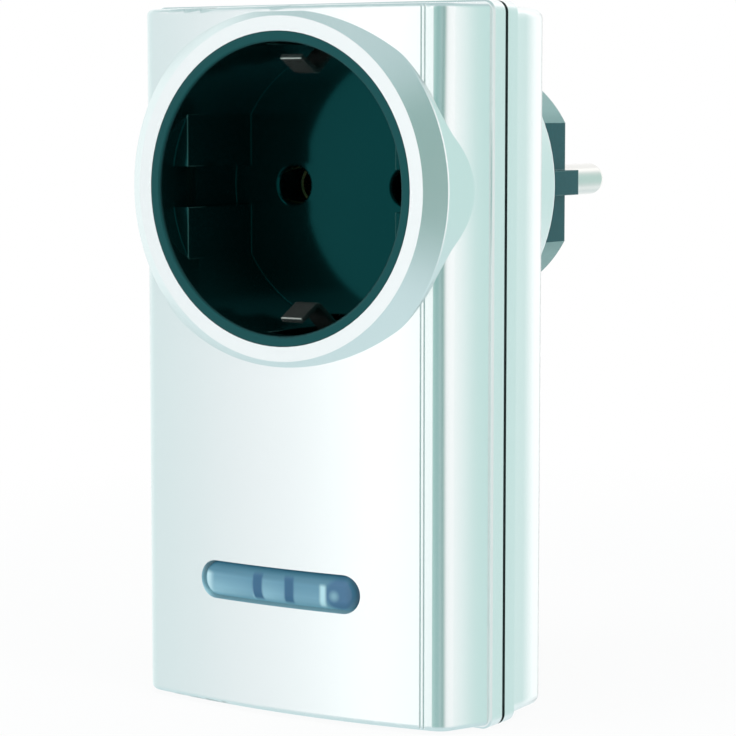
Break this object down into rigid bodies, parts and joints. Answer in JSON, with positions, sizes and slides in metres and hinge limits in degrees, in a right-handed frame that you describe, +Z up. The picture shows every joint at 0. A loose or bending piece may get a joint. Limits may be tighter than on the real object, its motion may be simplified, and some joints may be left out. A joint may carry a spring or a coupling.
{
  "type": "plug-in dimmer",
  "caption": "Plug-in lamp dimmer for a wall socket: slim silver case with a black earthed through socket in a round collar, an earthed plug behind and a translucent learn button below.",
  "frame": {"origin": "on the common axis of the socket and the plug, in the plug's rear face, midway between its pins", "axes": "+Y along the pins and into the wall; the face looks along -Y; +Z up; +X to the right of someone who faces the socket"},
  "size_m": [0.0558, 0.0715, 0.0971],
  "materials": {
    "case_silver": "satin silver lacquer on moulded plastic",
    "socket_black": "semi-gloss black moulding",
    "plug_black": "fine-grained black moulding",
    "strap_metal": "nickel-plated spring strip",
    "pin_metal": "nickel-plated, polished",
    "contact_metal": "plain brass strip",
    "button_blue": "translucent blue, glossy",
    "screw_metal": "zinc-plated",
    "board_green": "green resist over laminate",
    "part_black": "moulded black",
    "retainer_grey": "plain moulding",
    "plunger_white": "plain moulding",
    "lamp_blue": "tinted clear resin",
    "sink_metal": "mill finish",
    "core_grey": "coated ferrite",
    "winding_copper": "enamelled copper wire",
    "capacitor_yellow": "moulded case",
    "capacitor_red": "dipped case",
    "can_sleeve": "shrunk sleeve on a can",
    "absorber_blue": "coated disc",
    "fuse_white": "white tube with plated caps",
    "lead_brown": "insulation",
    "lead_blue": "insulation"
  },
  "bodies": {
    "housing": {"front_shell": "case_silver", "rear_shell": "case_silver", "socket_insert": "socket_black", "socket_earth_strap": "strap_metal", "plug_earth_strap": "strap_metal", "earth_rivet": "strap_metal", "plug_body": "plug_black", "live_pin": "pin_metal", "neutral_pin": "pin_metal", "pin_retainer": "retainer_grey", "live_contact": "contact_metal", "neutral_contact": "contact_metal", "case_screws": "screw_metal", "circuit_board": "board_green", "switch_body": "part_black", "status_led": "lamp_blue", "heat_sink": "sink_metal", "triac": "part_black", "triac_screw": "screw_metal", "choke_core": "core_grey", "choke_winding": "winding_copper", "filter_capacitor": "capacitor_yellow", "dropper_capacitor": "capacitor_red", "smoothing_capacitor": "can_sleeve", "surge_absorber": "absorber_blue", "fuse": "fuse_white", "controller_chip": "part_black", "receiver_board": "board_green", "aerial_coil": "winding_copper", "live_lead_in": "lead_brown", "live_lead_out": "lead_brown", "neutral_lead": "lead_blue", "neutral_link": "lead_blue"},
    "learn_button": {"learn_button": "button_blue"},
    "switch_plunger": {"switch_plunger": "plunger_white"}
  },
  "joints": [
    {"name": "learn_press", "type": "slide", "parent": "housing", "child": "learn_button", "axis": [0, 1, 0], "range_m": [0, 0.0005], "stiffness_N_per_m": 400, "springref_m": -0.0005},
    {"name": "switch_press", "type": "slide", "parent": "housing", "child": "switch_plunger", "axis": [0, 1, 0], "range_m": [0, 0.0005]}
  ],
  "couplings": [
    {"joint": "switch_press", "follows": "learn_press", "ratio": 1}
  ]
}
